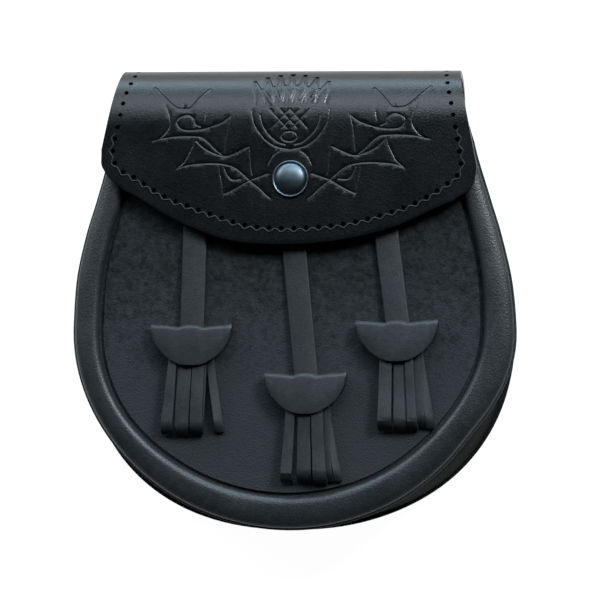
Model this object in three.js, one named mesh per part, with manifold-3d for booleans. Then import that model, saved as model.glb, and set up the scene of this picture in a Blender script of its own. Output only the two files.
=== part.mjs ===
// A leather day sporran lying on its back: +Z is up and out of the pouch's front,
// +Y runs from the pouch's bottom to its folded top, +X is the wearer's left.
// Units are millimetres. The origin is the middle of the box that the pouch fills,
// on the surface that its belt loops lie on.

import * as THREE from "three";
import { mergeVertices } from "three/addons/utils/BufferGeometryUtils.js";
import Module from "manifold-3d";

const wasm = await Module();
wasm.setup();

// Overall size of the pouch: its height takes in the back's wider edge, its width is the front's
const height = 197.5;
const width = 188.5;
const roundHeight = 84.5;
const mouthWidth = 144;
const backFlare = 0.5;
const backMouthWidth = 135;

// Walls and clearances
const clearance = 0.3;
const panelWall = 2.5;
const gussetWall = 1.8;
const flapWall = 3;
const strapWall = 1.8;
const capWall = 1.4;
const loopWall = 2;

// Depth of the pouch, from back panel to front panel
const gussetDepth = 23.5;
const gussetInset = 2.2;
const gussetFold = 4;

// How square the round bottom is: 2 is an ellipse, and the back's is a little fuller
const frontFullness = 2;
const backFullness = 2.25;

// Distances down from the fold to the upper edges of front, gusset and back
const mouthDown = 24;
const gussetDown = 11;
const backDown = 14;

// Welt round the front
const rimWidth = 9;
const rimRise = 3.2;
const rimInset = 1.8;

// Flap
const flapWidth = 164.5;
const foldWidth = 147.5;
const flapShift = -1.9;
const flapDrop = 76;
const foldDrop = 24;
const foldFall = 18;
const foldBack = 14;
const tailDown = 36;

// Snap
const snapDown = 48;
const snapShift = 0.5;
const snapDiameter = 16;
const snapRise = 4;
const stemDiameter = 4.4;
const socketDiameter = 10;
const socketHeight = 2;
const knobDiameter = 4;
const studDiameter = 9;

// Belt loops
const loopWidth = 28;
const loopSpread = 86;
const loopDown = 42;
const loopPad = 9;
const loopRamp = 7;
const beltWidth = 58;
const beltGap = 5;

// Tassels
const strapWidth = 9.8;
const strapCover = 12;
const strapTuck = 5;
const strapRamp = 7;
const capWidth = 35.4;
const capHeight = 17.5;
const capPuff = 7.6;
const capEdge = 3.6;
const fringeWidth = 22;
const fringeLength = 26.5;
const fringeWall = 1.5;
const fringeHead = 9;
const stripCount = 5;

// Facets
const sideSteps = 9;
const arcSteps = 30;
const flapColumns = 28;
const foldSteps = 8;

const top = height / 2;
const backZ = loopWall + beltGap;
const gussetZ = backZ + panelWall + clearance;
const frontZ = gussetZ + gussetDepth + clearance;
const faceZ = frontZ + panelWall;
const layZ = faceZ + clearance;
const flapZ = layZ + rimRise + clearance;
const flapFace = flapZ + flapWall;

const hide = { roughness: 0.62, metalness: 0 };
const leather = {
  panel: new THREE.MeshStandardMaterial({ color: 0x24282c, ...hide, roughness: 0.8 }),
  rim: new THREE.MeshStandardMaterial({ color: 0x2c3034, ...hide }),
  side: new THREE.MeshStandardMaterial({ color: 0x1c1e21, ...hide }),
  flap: new THREE.MeshStandardMaterial({ color: 0x191b1e, ...hide, roughness: 0.45 }),
  strap: new THREE.MeshStandardMaterial({ color: 0x3a3e41, ...hide }),
};
const gunmetal = new THREE.MeshStandardMaterial({ color: 0x5f6e78, roughness: 0.3, metalness: 1 });

const sporran = new THREE.Group();

function addPiece(name, geometry, material) {
  const mesh = new THREE.Mesh(geometry, material);
  mesh.name = name;
  sporran.add(mesh);
  return mesh;
}

// A closed geometry whose neighbouring faces share their corners
function weld(geometry) {
  const bare = geometry.clone();
  bare.deleteAttribute("normal");
  bare.deleteAttribute("uv");
  return mergeVertices(bare, 1e-4);
}

function toSolid(geometry) {
  const joined = weld(geometry);
  const mesh = new wasm.Mesh({
    numProp: 3,
    vertProperties: new Float32Array(joined.attributes.position.array),
    triVerts: new Uint32Array(joined.index.array),
  });
  return new wasm.Manifold(mesh);
}

function toGeometry(solid) {
  const mesh = solid.getMesh();
  const geometry = new THREE.BufferGeometry();
  geometry.setAttribute("position", new THREE.BufferAttribute(mesh.vertProperties, 3));
  geometry.setIndex(new THREE.BufferAttribute(mesh.triVerts, 1));
  return geometry;
}

// A closed body from rows of points, where every row is a closed ring of one length
function loft(rings) {
  const count = rings[0].length;
  const positions = rings.flat().flatMap((p) => [p.x, p.y, p.z]);
  const index = [];
  for (let r = 0; r + 1 < rings.length; r++) {
    for (let i = 0; i < count; i++) {
      const a = r * count + i;
      const b = r * count + ((i + 1) % count);
      index.push(a, b, b + count, a, b + count, a + count);
    }
  }
  closeRing(index, rings[0], 0, true);
  closeRing(index, rings[rings.length - 1], (rings.length - 1) * count, false);
  const geometry = new THREE.BufferGeometry();
  geometry.setAttribute("position", new THREE.Float32BufferAttribute(positions, 3));
  geometry.setIndex(index);
  return outward(geometry);
}

// An end cap over a ring that runs out along one side of a wall and back along the other
function closeRing(index, ring, start, flip) {
  const count = ring.length;
  for (let i = 0; i < count / 2 - 1; i++) {
    const a = start + i;
    const b = start + i + 1;
    const c = start + count - 2 - i;
    const d = start + count - 1 - i;
    if (flip) index.push(a, c, b, a, d, c);
    else index.push(a, b, c, a, c, d);
  }
}

// Turns a closed geometry's faces outward
function outward(geometry) {
  const joined = weld(geometry);
  const position = joined.attributes.position;
  const index = joined.index.array;
  const [a, b, c] = [0, 1, 2].map(() => new THREE.Vector3());
  let volume = 0;
  for (let i = 0; i < index.length; i += 3) {
    a.fromBufferAttribute(position, index[i]);
    b.fromBufferAttribute(position, index[i + 1]);
    c.fromBufferAttribute(position, index[i + 2]);
    volume += a.dot(b.cross(c));
  }
  if (volume > 0) return joined;
  for (let i = 0; i < index.length; i += 3) {
    [index[i + 1], index[i + 2]] = [index[i + 2], index[i + 1]];
  }
  return joined;
}

function extrude(points, low, high) {
  const shape = new THREE.Shape(points);
  const geometry = new THREE.ExtrudeGeometry(shape, { depth: high - low, bevelEnabled: false });
  return geometry.translate(0, 0, low);
}

function box(x, y, z, sizeX, sizeY, sizeZ) {
  return new THREE.BoxGeometry(sizeX, sizeY, sizeZ).translate(x, y, z);
}

// Pouch outline. Each row is a share of the straight part's height, counted from the
// widest line up to the fold, with the share of the way from the pouch's half width
// to the mouth's half width that the side has moved in.
const sideTable = [
  { up: 0, inward: 0 },
  { up: 0.2, inward: 0.05 },
  { up: 0.37, inward: 0.22 },
  { up: 0.53, inward: 0.45 },
  { up: 0.65, inward: 0.6 },
  { up: 0.76, inward: 0.71 },
  { up: 1, inward: 1 },
];
const widestY = -top + backFlare + roundHeight;

// Points of the outline from the top left, round the bottom, to the top right, moved
// inward by an inset, with its two ends at a given distance below the fold. It goes
// from the back's outline, at a share of 0, to the front's, at a share of 1.
function outline(inset, down, share) {
  const endY = top - down;
  const halfWidth = width / 2;
  const mouthHalf = THREE.MathUtils.lerp(backMouthWidth, mouthWidth, share) / 2;
  const power = 2 / THREE.MathUtils.lerp(backFullness, frontFullness, share);
  const spline = new THREE.SplineCurve(
    sideTable.map(
      (row) =>
        new THREE.Vector2(
          halfWidth + (mouthHalf - halfWidth) * row.inward,
          widestY + (top - widestY) * row.up,
        ),
    ),
  );
  const side = spline.getPoints(sideSteps * 6).filter((p) => p.y <= top);
  const right = [];
  for (let i = 0; i <= sideSteps; i++) {
    const y = endY + ((widestY - endY) * i) / sideSteps;
    const above = side.find((p) => p.y >= y) ?? side[side.length - 1];
    const below = side[Math.max(side.indexOf(above) - 1, 0)];
    const part = above === below ? 0 : (y - below.y) / (above.y - below.y);
    right.push(new THREE.Vector2(below.x + (above.x - below.x) * part - inset, y));
  }
  const left = right.map((p) => new THREE.Vector2(-p.x, p.y));
  const round = [];
  for (let i = 1; i < arcSteps; i++) {
    const angle = Math.PI * (1 + i / arcSteps);
    const across = Math.sign(Math.cos(angle)) * Math.abs(Math.cos(angle)) ** power;
    const along = Math.abs(Math.sin(angle)) ** power;
    round.push(
      new THREE.Vector2((halfWidth - inset) * across, widestY - (roundHeight - inset) * along),
    );
  }
  return [...left, ...round, ...right.reverse()];
}

// A band that follows the pouch's outline, from a section of insets and heights
// that runs out along one side of its wall and back along the other
function band(section, down) {
  const lines = section.map((corner) => ({
    z: corner.z,
    points: outline(corner.inset, down, corner.share),
  }));
  const rings = lines[0].points.map((_, i) =>
    lines.map((line) => new THREE.Vector3(line.points[i].x, line.points[i].y, line.z)),
  );
  return loft(rings);
}

// Back panel, cut off under the fold
addPiece(
  "back_panel",
  outward(extrude(outline(-backFlare, backDown, 0), backZ, backZ + panelWall)),
  leather.panel,
);

// Gusset, folded inward along its middle
const gussetTable = [
  { share: 0, fold: 0 },
  { share: 0.25, fold: 0.35 },
  { share: 0.5, fold: 1 },
  { share: 0.75, fold: 0.35 },
  { share: 1, fold: 0 },
];
const gussetOuter = gussetTable.map((row) => ({
  inset: gussetInset + gussetFold * row.fold,
  z: gussetZ + gussetDepth * row.share,
  share: row.share,
}));
const gussetInner = gussetOuter
  .map((corner) => ({ ...corner, inset: corner.inset + gussetWall }))
  .reverse();
addPiece("gusset", band([...gussetOuter, ...gussetInner], gussetDown), leather.side);

// Front panel, with the hole for the snap stud's rivet
const snapX = snapShift;
const snapY = top - snapDown;
const rivetHole = new THREE.CylinderGeometry(
  stemDiameter / 2 + clearance,
  stemDiameter / 2 + clearance,
  panelWall * 4,
  16,
)
  .rotateX(Math.PI / 2)
  .translate(snapX, snapY, faceZ - panelWall / 2);
const frontBlank = toSolid(outward(extrude(outline(0, mouthDown, 1), frontZ, faceZ)));
addPiece("front_panel", toGeometry(frontBlank.subtract(toSolid(rivetHole))), leather.panel);

// Welt, a low dome in section
const rimSection = [{ inset: rimInset, z: layZ, share: 1 }];
const domeSteps = 6;
for (let i = 0; i <= domeSteps; i++) {
  const angle = (Math.PI * (0.12 + (0.76 * i) / domeSteps));
  rimSection.push({
    inset: rimInset + (rimWidth / 2) * (1 - Math.cos(angle)),
    z: layZ + rimRise * Math.sin(angle),
    share: 1,
  });
}
rimSection.push({ inset: rimInset + rimWidth, z: layZ, share: 1 });
// The dome has an odd count of corners, and a corner of the flat underside makes it even
rimSection.push({ inset: rimInset + rimWidth / 2, z: layZ, share: 1 });
addPiece("front_rim", band(rimSection, mouthDown), leather.rim);

// Flap. The section runs from the tail on the back, over the fold, to the front edge.
const foldY = top - foldDrop;
const foldZ = flapFace - foldFall;
const tailFace = backZ - clearance - flapWall;
const backFoldY = top - foldBack;

function foldPoint(angle, inset) {
  const front = angle > Math.PI / 2;
  const reachY = (front ? foldDrop : foldBack) - inset;
  const reachZ = (front ? foldFall : foldZ - tailFace) - inset;
  return new THREE.Vector2(
    (front ? foldY : backFoldY) + reachY * Math.sin(angle),
    foldZ - reachZ * Math.cos(angle),
  );
}

// Drop of the flap's lower edge below the fold, as shares of the whole drop
const edgeTable = [
  { across: -1, drop: 0.46 },
  { across: -0.985, drop: 0.54 },
  { across: -0.94, drop: 0.62 },
  { across: -0.86, drop: 0.69 },
  { across: -0.58, drop: 0.86 },
  { across: -0.3, drop: 0.975 },
  { across: 0, drop: 1 },
  { across: 0.3, drop: 0.975 },
  { across: 0.58, drop: 0.9 },
  { across: 0.88, drop: 0.76 },
  { across: 0.95, drop: 0.71 },
  { across: 0.985, drop: 0.66 },
  { across: 1, drop: 0.59 },
];

function lookUp(table, key, value, at) {
  const after = table.findIndex((row) => row[key] >= at);
  if (after <= 0) return table[0][value];
  const [a, b] = [table[after - 1], table[after]];
  return a[value] + ((b[value] - a[value]) * (at - a[key])) / (b[key] - a[key]);
}

function flapSide(y, z) {
  const open = THREE.MathUtils.clamp((top - y) / (flapDrop * 0.56), 0, 1);
  const spread = z > foldZ ? open : 0;
  return (foldWidth + (flapWidth - foldWidth) * spread) / 2;
}

function flapLayer(across, inset) {
  const drop = flapDrop * lookUp(edgeTable, "across", "drop", across);
  const path = [new THREE.Vector2(top - tailDown, tailFace + inset)];
  for (let i = 0; i <= foldSteps * 2; i++) {
    path.push(foldPoint((Math.PI * i) / (foldSteps * 2), inset));
  }
  const flatSteps = 3;
  for (let i = 1; i <= flatSteps; i++) {
    const y = foldY + ((top - drop - foldY) * i) / flatSteps;
    path.push(new THREE.Vector2(y, flapFace - inset));
  }
  return path.map((p) => new THREE.Vector3(flapShift + across * flapSide(p.x, p.y), p.x, p.y));
}

const flapRings = [];
for (let i = 0; i <= flapColumns; i++) {
  const across = Math.sin((Math.PI / 2) * ((2 * i) / flapColumns - 1));
  flapRings.push([...flapLayer(across, 0), ...flapLayer(across, flapWall).reverse()]);
}
const snapHole = new THREE.CylinderGeometry(
  stemDiameter / 2 + clearance,
  stemDiameter / 2 + clearance,
  flapWall * 4,
  16,
)
  .rotateX(Math.PI / 2)
  .translate(snapX, snapY, flapFace);
addPiece("flap", toGeometry(toSolid(loft(flapRings)).subtract(toSolid(snapHole))), leather.flap);

// A body turned about a line along Z, from radii and heights
function turned(profile, x, y, z, sides) {
  const points = profile.map((corner) => new THREE.Vector2(corner.radius, corner.height));
  return outward(new THREE.LatheGeometry(points, sides).rotateX(Math.PI / 2).translate(x, y, z));
}

// Snap cap: dome, stem through the flap and socket under it
const socketTop = flapZ - clearance;
const socketBottom = socketTop - socketHeight;
const capBase = flapFace + clearance;
addPiece(
  "snap_cap",
  turned(
    [
      { radius: 0, height: socketBottom + socketHeight * 0.6 },
      { radius: knobDiameter / 2 + clearance, height: socketBottom + socketHeight * 0.6 },
      { radius: knobDiameter / 2 + clearance, height: socketBottom },
      { radius: socketDiameter / 2, height: socketBottom },
      { radius: socketDiameter / 2, height: socketTop },
      { radius: stemDiameter / 2, height: socketTop },
      { radius: stemDiameter / 2, height: capBase },
      { radius: snapDiameter / 2, height: capBase },
      { radius: snapDiameter / 2, height: capBase + snapRise * 0.3 },
      { radius: snapDiameter * 0.44, height: capBase + snapRise * 0.5 },
      { radius: snapDiameter * 0.42, height: capBase + snapRise * 0.42 },
      { radius: snapDiameter * 0.36, height: capBase + snapRise * 0.72 },
      { radius: snapDiameter * 0.22, height: capBase + snapRise * 0.93 },
      { radius: 0, height: capBase + snapRise },
    ],
    snapX,
    snapY,
    0,
    24,
  ),
  gunmetal,
);

// Snap stud: plain knob on the front panel, riveted through it
const studFoot = 0.5;
const rivetFoot = 0.6;
addPiece(
  "snap_stud",
  turned(
    [
      { radius: 0, height: frontZ - clearance - rivetFoot },
      { radius: studDiameter / 2, height: frontZ - clearance - rivetFoot },
      { radius: studDiameter / 2, height: frontZ - clearance },
      { radius: stemDiameter / 2, height: frontZ - clearance },
      { radius: stemDiameter / 2, height: layZ },
      { radius: studDiameter / 2, height: layZ },
      { radius: studDiameter / 2, height: layZ + studFoot },
      { radius: knobDiameter / 2, height: layZ + studFoot },
      { radius: knobDiameter / 2, height: socketBottom + socketHeight * 0.6 - clearance },
      { radius: 0, height: socketBottom + socketHeight * 0.6 - clearance },
    ],
    snapX,
    snapY,
    0,
    20,
  ),
  gunmetal,
);

// Belt loops on the back: a pad at each end and a bridge that stands off for the belt
function beltLoop(side) {
  const padFace = backZ - clearance - loopWall;
  const first = top - loopDown;
  const stations = [
    { y: first, z: padFace },
    { y: first - loopPad, z: padFace },
    { y: first - loopPad - loopRamp, z: 0 },
    { y: first - loopPad - loopRamp - beltWidth, z: 0 },
    { y: first - loopPad - loopRamp * 2 - beltWidth, z: padFace },
    { y: first - loopPad * 2 - loopRamp * 2 - beltWidth, z: padFace },
  ];
  const shape = new THREE.Shape([
    ...stations.map((s) => new THREE.Vector2(s.y, s.z)),
    ...stations.map((s) => new THREE.Vector2(s.y, s.z + loopWall)).reverse(),
  ]);
  const strip = new THREE.ExtrudeGeometry(shape, { depth: loopWidth, bevelEnabled: false });
  strip.applyMatrix4(
    new THREE.Matrix4().makeBasis(
      new THREE.Vector3(0, 1, 0),
      new THREE.Vector3(0, 0, 1),
      new THREE.Vector3(1, 0, 0),
    ),
  );
  return outward(strip.translate((side * loopSpread) / 2 - loopWidth / 2, 0, 0));
}
addPiece("belt_loop_left", beltLoop(-1), leather.side);
addPiece("belt_loop_right", beltLoop(1), leather.side);

// Tassels: where each cap's folded edge is, as shares of the width from the middle and
// of the height from the fold, with the lean of its strap and its fringe in degrees
const tassels = [
  { name: "left", across: -0.232, down: 0.56, lean: -1.5, fringe: 1 },
  { name: "centre", across: 0.028, down: 0.664, lean: 4.5, fringe: 4 },
  { name: "right", across: 0.24, down: 0.55, lean: 5.5, fringe: 5 },
];

// Cap seen flat: top edge and bottom edge from ear to ear, as shares of its height
const capTable = [
  { across: -1, top: 0.02, low: -0.2, puff: 0 },
  { across: -0.92, top: 0.03, low: -0.4, puff: 0.3 },
  { across: -0.75, top: -0.03, low: -0.66, puff: 0.85 },
  { across: -0.5, top: -0.05, low: -0.87, puff: 1 },
  { across: -0.25, top: 0, low: -0.97, puff: 1 },
  { across: 0, top: 0.02, low: -1, puff: 1 },
  { across: 0.25, top: 0, low: -0.97, puff: 1 },
  { across: 0.5, top: -0.05, low: -0.87, puff: 1 },
  { across: 0.75, top: -0.03, low: -0.66, puff: 0.85 },
  { across: 0.92, top: 0.03, low: -0.4, puff: 0.3 },
  { across: 1, top: 0.02, low: -0.2, puff: 0 },
];
const capTurns = 6;

// One side of the cap's wall: up its back, over the fold and down its front
function capLayer(row, inset) {
  const thick = capEdge + (capPuff - capEdge) * row.puff;
  const radius = thick / 2 - inset;
  const topY = row.top * capHeight;
  const lowY = row.low * capHeight;
  const centreY = topY - thick / 2;
  const x = (row.across * capWidth) / 2;
  const z = layZ + thick / 2;
  const points = [new THREE.Vector3(x, lowY, z - radius)];
  for (let i = 0; i <= capTurns; i++) {
    const angle = -Math.PI / 2 + (Math.PI * i) / capTurns;
    const y = Math.max(centreY + radius * Math.cos(angle), lowY + 0.2);
    points.push(new THREE.Vector3(x, y, z + radius * Math.sin(angle)));
  }
  points.push(new THREE.Vector3(x, lowY, z + radius));
  return points;
}

// The head sits between the cap's two layers, clear of both
const innerThick = capPuff - 2 * capWall - 3 * clearance;
const headZ = layZ + capWall + clearance;

for (const tassel of tassels) {
  const tasselX = tassel.across * width;
  const tasselDown = tassel.down * height;
  const place = new THREE.Matrix4()
    .makeRotationZ(THREE.MathUtils.degToRad(tassel.fringe * 0.2))
    .setPosition(tasselX, top - tasselDown, 0);

  // Strap, from under the flap down through the cap's slit
  const lean = Math.tan(THREE.MathUtils.degToRad(tassel.lean));
  const startDown = flapDrop * (1 - Math.abs(tassel.across) * 0.4) - strapCover;
  const strapLength = tasselDown - startDown;
  const half = strapWidth / 2;
  const slitZ = headZ + clearance;
  const strapLow = -strapTuck;
  const strapStations = [
    { y: strapLength, z: layZ },
    { y: strapRamp, z: layZ },
    { y: strapWall, z: slitZ },
    { y: strapLow, z: slitZ },
  ];
  const strapShape = new THREE.Shape([
    ...strapStations.map((s) => new THREE.Vector2(s.y, s.z)),
    ...strapStations.map((s) => new THREE.Vector2(s.y, s.z + strapWall)).reverse(),
  ]);
  const strip = new THREE.ExtrudeGeometry(strapShape, { depth: strapWidth, bevelEnabled: false });
  strip.applyMatrix4(
    new THREE.Matrix4().makeBasis(
      new THREE.Vector3(-lean, 1, 0),
      new THREE.Vector3(0, 0, 1),
      new THREE.Vector3(1, 0, 0),
    ),
  );
  strip.translate(tasselX - half, top - tasselDown, 0);
  addPiece(`tassel_strap_${tassel.name}`, outward(strip), leather.strap);

  // Cap, with the slit that the strap passes through
  const capRings = capTable.map((row) => [
    ...capLayer(row, 0),
    ...capLayer(row, capWall).reverse(),
  ]);
  const slit = box(
    0,
    0,
    slitZ + strapWall / 2,
    strapWidth + 4 * clearance,
    capPuff,
    strapWall + 2 * clearance,
  );
  const capSolid = toSolid(loft(capRings)).subtract(toSolid(slit));
  addPiece(
    `tassel_cap_${tassel.name}`,
    outward(toGeometry(capSolid).applyMatrix4(place)),
    leather.strap,
  );

  // Fringe: strips in two layers, fused to one head
  const headTop = strapLow - clearance;
  const tipY = -capHeight - fringeLength;
  const sway = Math.tan(THREE.MathUtils.degToRad(tassel.fringe)) * fringeLength;
  let fringe = toSolid(
    box(0, headTop - fringeHead / 2, headZ + innerThick / 2, fringeWidth * 0.8, fringeHead, innerThick),
  );
  for (let i = 0; i < stripCount; i++) {
    const spread = (i - (stripCount - 1) / 2) / (stripCount - 1);
    const upper = i % 2;
    const stripWidth = fringeWidth / stripCount - clearance;
    const z = headZ + (upper ? innerThick - fringeWall : 0);
    const tipZ = layZ + (upper ? fringeWall * 1.6 : 0);
    const x = spread * fringeWidth * 0.8;
    const tipX = spread * fringeWidth * 0.95 + sway;
    const stations = [
      { y: headTop - 1, x, z },
      { y: -capHeight * 0.9, x, z },
      { y: tipY + (i % 3), x: tipX, z: tipZ },
    ];
    const rings = stations.map((s) => [
      new THREE.Vector3(s.x - stripWidth / 2, s.y, s.z),
      new THREE.Vector3(s.x + stripWidth / 2, s.y, s.z),
      new THREE.Vector3(s.x + stripWidth / 2, s.y, s.z + fringeWall),
      new THREE.Vector3(s.x - stripWidth / 2, s.y, s.z + fringeWall),
    ]);
    fringe = fringe.add(toSolid(loft(rings)));
  }
  addPiece(
    `tassel_fringe_${tassel.name}`,
    outward(toGeometry(fringe).applyMatrix4(place)),
    leather.strap,
  );
}

export default sporran;
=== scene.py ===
import math
import random

import bpy
from mathutils import Matrix, Vector


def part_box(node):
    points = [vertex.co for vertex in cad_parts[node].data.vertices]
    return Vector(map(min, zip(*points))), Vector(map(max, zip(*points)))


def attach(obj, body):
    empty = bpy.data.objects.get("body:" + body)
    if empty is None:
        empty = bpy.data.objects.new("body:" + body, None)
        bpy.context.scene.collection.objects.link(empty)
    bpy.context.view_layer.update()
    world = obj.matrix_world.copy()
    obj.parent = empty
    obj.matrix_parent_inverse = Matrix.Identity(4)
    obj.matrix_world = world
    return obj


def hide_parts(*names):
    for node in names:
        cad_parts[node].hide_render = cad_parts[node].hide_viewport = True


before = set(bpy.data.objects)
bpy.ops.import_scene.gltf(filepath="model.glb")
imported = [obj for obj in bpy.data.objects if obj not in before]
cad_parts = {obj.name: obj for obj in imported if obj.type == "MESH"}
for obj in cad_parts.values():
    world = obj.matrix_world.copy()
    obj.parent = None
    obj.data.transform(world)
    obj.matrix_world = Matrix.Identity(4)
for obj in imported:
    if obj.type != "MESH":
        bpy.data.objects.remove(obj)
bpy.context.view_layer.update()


# Camera. The pouch lies on its back, so the photograph's straight front view is a view
# from above, a little from the right and from below the pouch's bottom edge.
camera_azimuth = math.radians(60.5)
camera_elevation = math.radians(80.3)
camera_roll = math.radians(0.7)
camera_distance = 1.3
camera_target = Vector((0.0018, 0.0006, 0.020))

camera_back = Vector((
    math.sin(camera_azimuth) * math.cos(camera_elevation),
    -math.cos(camera_azimuth) * math.cos(camera_elevation),
    math.sin(camera_elevation),
))
level = Vector((0, 1, 0)).cross(camera_back).normalized()
upright = camera_back.cross(level)
camera_right = level * math.cos(camera_roll) + upright * math.sin(camera_roll)
camera_up = upright * math.cos(camera_roll) - level * math.sin(camera_roll)

bpy.ops.object.camera_add()
camera = bpy.context.object
camera.data.lens = 179.4
camera.data.sensor_width = 36
turn = Matrix((camera_right, camera_up, camera_back)).transposed().to_4x4()
camera.matrix_world = Matrix.Translation(camera_target + camera_back * camera_distance) @ turn
bpy.context.scene.camera = camera


# Shader maths. A Tone is one value of a material, and arithmetic on it adds Math nodes.
# Its node method adds any other node, with its settings first and then its sockets.
class Tone:
    def __init__(self, tree, socket=None):
        self.tree = tree
        self.socket = socket

    def node(self, kind, settings, sockets, output=0):
        made = self.tree.nodes.new("ShaderNode" + kind)
        for name, value in settings.items():
            setattr(made, name, value)
        for name, value in sockets.items():
            if isinstance(value, Tone):
                self.tree.links.new(value.socket, made.inputs[name])
            else:
                made.inputs[name].default_value = value
        return Tone(self.tree, made.outputs[output])

    def maths(self, operation, *values):
        return self.node("Math", {"operation": operation}, dict(enumerate(values)))

    def __add__(self, other):
        return self.maths("ADD", self, other)

    def __sub__(self, other):
        return self.maths("SUBTRACT", self, other)

    def __rsub__(self, other):
        return self.maths("SUBTRACT", other, self)

    def __mul__(self, other):
        return self.maths("MULTIPLY", self, other)

    __radd__ = __add__

    def clamped(self):
        return self.node("Clamp", {}, {"Value": self, "Min": 0.0, "Max": 1.0})

    def noise(self, place, scale, detail=3.0, roughness=0.5):
        sockets = {"Vector": place, "Scale": scale, "Detail": detail, "Roughness": roughness}
        return self.node("TexNoise", {}, sockets)

    def mix(self, dark, light):
        sockets = {"Factor": self, "A": (*dark, 1), "B": (*light, 1)}
        made = self.tree.nodes.new("ShaderNodeMix")
        made.data_type = "RGBA"
        for name, value in sockets.items():
            socket = next(s for s in made.inputs if s.name == name and s.type in ("RGBA", "VALUE")
                          and (name == "Factor" or s.type == "RGBA"))
            if isinstance(value, Tone):
                self.tree.links.new(value.socket, socket)
            else:
                socket.default_value = value
        return Tone(self.tree, next(s for s in made.outputs if s.type == "RGBA"))


def new_material(name):
    material = bpy.data.materials.new(name)
    material.use_nodes = True
    shader = material.node_tree.nodes["Principled BSDF"]
    tones = Tone(material.node_tree)
    place = tones.node("TexCoord", {}, {}, output=3)
    return material, shader, tones, place


def feed(tones, shader, **sockets):
    for name, value in sockets.items():
        socket = shader.inputs[name.replace("_", " ")]
        if isinstance(value, Tone):
            tones.tree.links.new(value.socket, socket)
        else:
            socket.default_value = value


# Studio. A pale sweep and four soft lamps: a long low one past the folded top, which the
# fold reflects, one above it and one to each side. None is in the flat flap's mirror
# direction.
bpy.ops.object.select_all(action="DESELECT")
bpy.ops.mesh.primitive_plane_add(size=8)
floor = bpy.context.object
floor.name = "floor"
paper, shader, tones, place = new_material("paper")
feed(tones, shader, Roughness=0.9, Specular_IOR_Level=0.1)
feed(tones, shader, Emission_Color=(1, 1, 1, 1), Emission_Strength=0.98)
feed(tones, shader, Base_Color=tones.noise(place, scale=3.0).mix((0.15, 0.15, 0.15), (0.17, 0.17, 0.17)))
floor.data.materials.append(paper)


lamp_target = Vector((0, 0, 0.02))


def softbox(name, place, wide, high, watts, colour):
    bpy.ops.object.light_add(type="AREA", location=place)
    lamp = bpy.context.object
    lamp.name = name
    lamp.data.shape = "RECTANGLE"
    lamp.data.size = wide
    lamp.data.size_y = high
    lamp.data.energy = watts
    lamp.data.color = colour
    lamp.rotation_euler = (Vector(place) - lamp_target).to_track_quat("Z", "Y").to_euler()


softbox("fold_lamp", (0, 1.6, 0.34), 2.6, 0.6, 34, (0.66, 0.85, 1.0))
softbox("upper_lamp", (0, 1.15, 1.3), 1.2, 0.8, 15, (0.78, 0.91, 1.0))
softbox("left_lamp", (-1.5, 1.2, 0.95), 0.8, 0.8, 16, (0.9, 0.96, 1.0))
softbox("right_lamp", (0.95, 0.95, 1.1), 0.5, 0.5, 24, (0.9, 0.96, 1.0))

world = bpy.data.worlds.new("studio")
bpy.context.scene.world = world
world.use_nodes = True
background = world.node_tree.nodes["Background"]
background.inputs["Color"].default_value = (0.9, 0.95, 1, 1)
background.inputs["Strength"].default_value = 0.02
bpy.context.scene.view_settings.view_transform = "Standard"


# Back panel. One flat cut of thick hide, a little wider than the front so that its raw
# edge shows beyond it. The gusset is glued and stitched between the two.
mm = 0.001
front_low, front_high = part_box("front_panel")
back_low, back_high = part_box("back_panel")
flap_low, flap_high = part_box("flap")
fold_top = flap_high.y
half_width = front_high.x
front_mouth_half = 72 * mm
back_mouth_half = 67.5 * mm
front_fullness = 2.0
back_fullness = 2.25
round_height = 84.5 * mm
widest_y = front_low.y + round_height

# How far the side has moved in from the half width to the mouth's, going up
side_table = [
    {"up": 0.0, "inward": 0.0},
    {"up": 0.2, "inward": 0.05},
    {"up": 0.37, "inward": 0.22},
    {"up": 0.53, "inward": 0.45},
    {"up": 0.65, "inward": 0.6},
    {"up": 0.76, "inward": 0.71},
    {"up": 1.0, "inward": 1.0},
]


def read_table(table, key, value, at):
    """The value at a place in a table, on a smooth curve through its rows."""
    last = len(table) - 1
    after = next((i for i, row in enumerate(table) if row[key] > at), last)
    after = max(after, 1)
    rows = [table[min(max(i, 0), last)] for i in range(after - 2, after + 2)]
    share = (at - rows[1][key]) / (rows[2][key] - rows[1][key])
    share = min(max(share, 0.0), 1.0)
    v = [row[value] for row in rows]
    bend = 2 * v[0] - 5 * v[1] + 4 * v[2] - v[3]
    twist = 3 * v[1] - v[0] - 3 * v[2] + v[3]
    return v[1] + 0.5 * share * (v[2] - v[0] + share * (bend + share * twist))


def between(first, last, share):
    return first + (last - first) * share


def pouch_line(inset, down, share=1.0, steps=26, turns=72):
    """Points from the left end of the outline, round the bottom, to its right end. A
    share of 0 gives the back's outline and a share of 1 gives the front's."""
    mouth_half = between(back_mouth_half, front_mouth_half, share)
    power = 2 / between(back_fullness, front_fullness, share)
    end_y = fold_top - down
    left = []
    for i in range(steps + 1):
        y = between(end_y, widest_y, i / steps)
        up = (y - widest_y) / (fold_top - widest_y)
        inward = read_table(side_table, "up", "inward", up)
        left.append(Vector((inset - between(half_width, mouth_half, inward), y, 0)))
    arc = []
    for i in range(1, turns):
        angle = math.pi * i / turns
        across = math.copysign(abs(math.cos(angle)) ** power, -math.cos(angle))
        along = math.sin(angle) ** power
        arc.append(Vector((
            (half_width - inset) * across,
            widest_y - (round_height - inset) * along,
            0,
        )))
    right = [Vector((-p.x, p.y, 0)) for p in reversed(left)]
    return left + arc + right


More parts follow.
